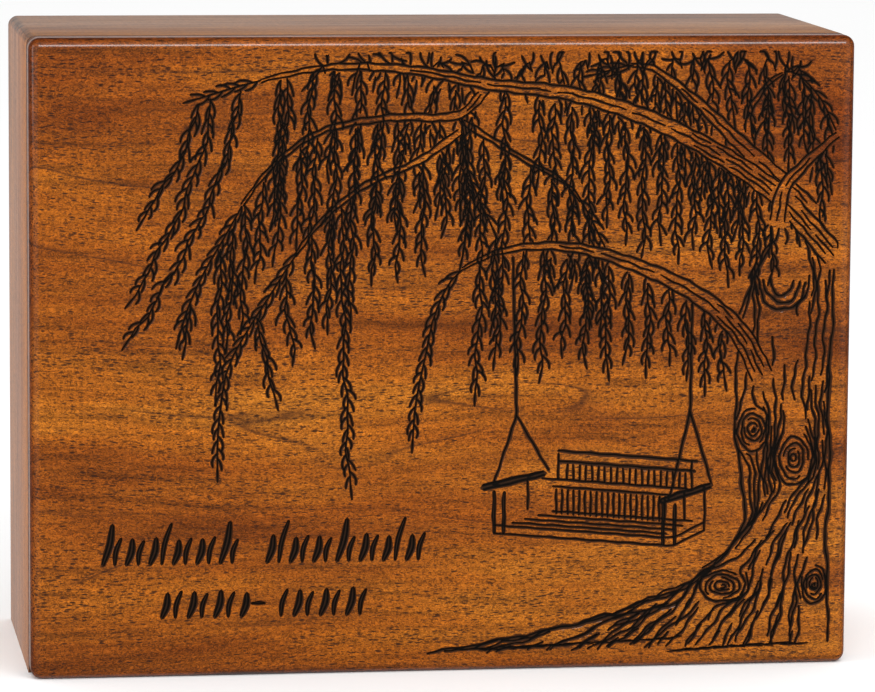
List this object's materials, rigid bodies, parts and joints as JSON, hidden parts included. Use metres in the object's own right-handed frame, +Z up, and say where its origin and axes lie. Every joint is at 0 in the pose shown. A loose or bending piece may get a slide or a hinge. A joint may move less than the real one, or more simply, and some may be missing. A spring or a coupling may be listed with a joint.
{
  "type": "cremation urn box",
  "caption": "Upright rectangular hardwood urn box with a willow and a garden swing carved in its front board and a screwed base board underneath.",
  "frame": {"origin": "middle of the underside, on the surface that the box stands on", "axes": "+X to the right seen from the front, along the width; -Y out of the carved front; +Z up"},
  "size_m": [0.254, 0.102, 0.196],
  "materials": {
    "face_wood": "oiled hardwood with a satin gloss, carved lines burnt near black",
    "case_wood": "oiled hardwood, satin",
    "screw_brass": "bright brass, slotted"
  },
  "bodies": {
    "root": {"front_panel": "face_wood", "top_board": "case_wood", "left_side": "case_wood", "right_side": "case_wood", "back_panel": "case_wood", "base_board": "case_wood", "base_screw_1": "screw_brass", "base_screw_2": "screw_brass", "base_screw_3": "screw_brass", "base_screw_4": "screw_brass"}
  },
  "joints": []
}
